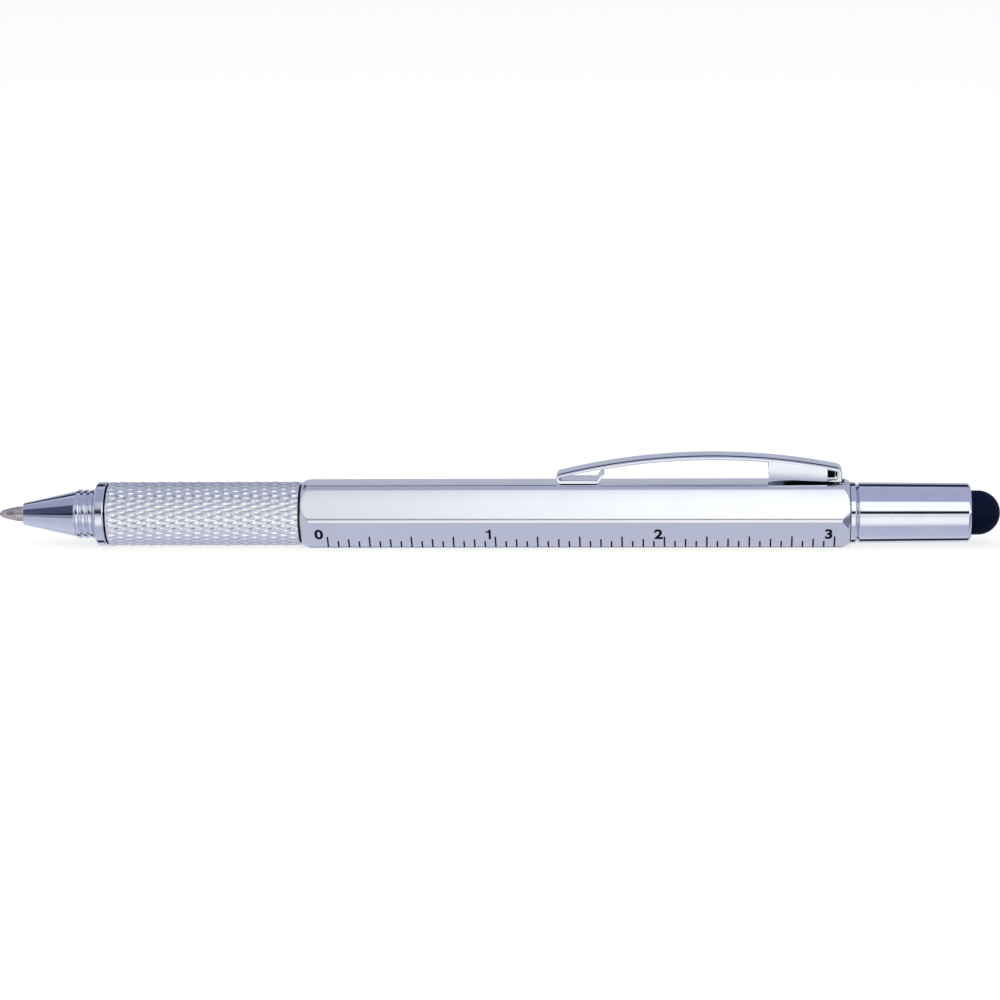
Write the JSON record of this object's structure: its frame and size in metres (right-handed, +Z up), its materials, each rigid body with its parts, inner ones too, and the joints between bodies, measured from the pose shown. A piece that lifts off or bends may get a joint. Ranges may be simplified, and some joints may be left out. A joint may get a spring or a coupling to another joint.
{
  "type": "multi tool pen",
  "caption": "Hexagon-barrelled metal pen with twist ballpoint, inch ruler, spirit level, pocket clip, screw cap over a screwdriver bit, and touch stylus.",
  "frame": {"origin": "on the surface that the pen lies on, under the middle of its length, in line with its axis", "axes": "+X along the pen towards the stylus, +Z up through the clip, +Y away from the ruled side"},
  "size_m": [0.1518, 0.011, 0.0141],
  "materials": {
    "chrome": "polished chrome plate on brass and spring steel",
    "satin_silver": "satin silver anodised aluminium",
    "knurled_silver": "bright silver, diamond knurled",
    "brass": "turned brass",
    "nickel_silver": "turned nickel silver",
    "steel": "drawn steel",
    "tool_steel": "nickel plated tool steel",
    "white_plastic": "natural moulded acetal",
    "black_plastic": "moulded black ABS",
    "ink": "ballpoint ink, stands in for the paste",
    "rubber": "conductive silicone rubber, near black",
    "clear_plastic": "clear moulded acrylic",
    "level_fluid": "tinted level liquid"
  },
  "bodies": {
    "barrel": {"hex_barrel": "satin_silver", "barrel_bush": "black_plastic", "guide_sleeve": "white_plastic", "level_cradle": "white_plastic", "level_vial": "clear_plastic", "level_liquid": "level_fluid", "vial_plug": "white_plastic", "rear_collar": "chrome", "bit_socket": "steel"},
    "grip": {"grip_sleeve": "knurled_silver", "cam_tube": "brass", "snap_ring": "steel", "return_spring": "steel"},
    "nose": {"nose_cone": "chrome"},
    "refill": {"writing_ball": "steel", "refill_tip": "nickel_silver", "refill_tube": "white_plastic", "ink_column": "ink"},
    "plunger": {"plunger": "white_plastic"},
    "stylus": {"stylus_tip": "rubber", "stylus_plug": "black_plastic"},
    "cap": {"cap_tube": "chrome", "cap_liner": "brass"},
    "bit": {"screwdriver_bit": "tool_steel"},
    "clip": {"pocket_clip": "chrome"}
  },
  "joints": [
    {"name": "grip_twist", "type": "hinge", "parent": "barrel", "child": "grip", "pos_m": [-0.04422, 0, 0.0049], "axis": [1, 0, 0], "range_deg": [0, 180]},
    {"name": "refill_slide", "type": "slide", "parent": "grip", "child": "refill", "axis": [1, 0, 0], "range_m": [0, 0.005], "deforming": ["return_spring"]},
    {"name": "plunger_slide", "type": "slide", "parent": "barrel", "child": "plunger", "axis": [1, 0, 0], "range_m": [0, 0.005]},
    {"name": "nose_draw", "type": "slide", "parent": "grip", "child": "nose", "axis": [-1, 0, 0], "range_m": [0, 0.028]},
    {"name": "cap_draw", "type": "slide", "parent": "barrel", "child": "stylus", "axis": [1, 0, 0], "range_m": [0, 0.044]},
    {"name": "cap_turn", "type": "hinge", "parent": "stylus", "child": "cap", "pos_m": [0.063, 0, 0.0049], "axis": [1, 0, 0], "continuous": true},
    {"name": "bit_draw", "type": "slide", "parent": "barrel", "child": "bit", "axis": [1, 0, 0], "range_m": [0, 0.022]},
    {"name": "clip_flex", "type": "hinge", "parent": "barrel", "child": "clip", "pos_m": [0.05215, 0, 0.0098], "axis": [0, 1, 0], "range_deg": [0, 4], "stiffness_Nm_per_rad": 2}
  ],
  "couplings": [
    {"joint": "refill_slide", "follows": "grip_twist", "m_per_rad": 0.0015915},
    {"joint": "plunger_slide", "follows": "grip_twist", "m_per_rad": 0.0015915},
    {"joint": "bit_draw", "follows": "cap_draw", "ratio": 0.5}
  ]
}
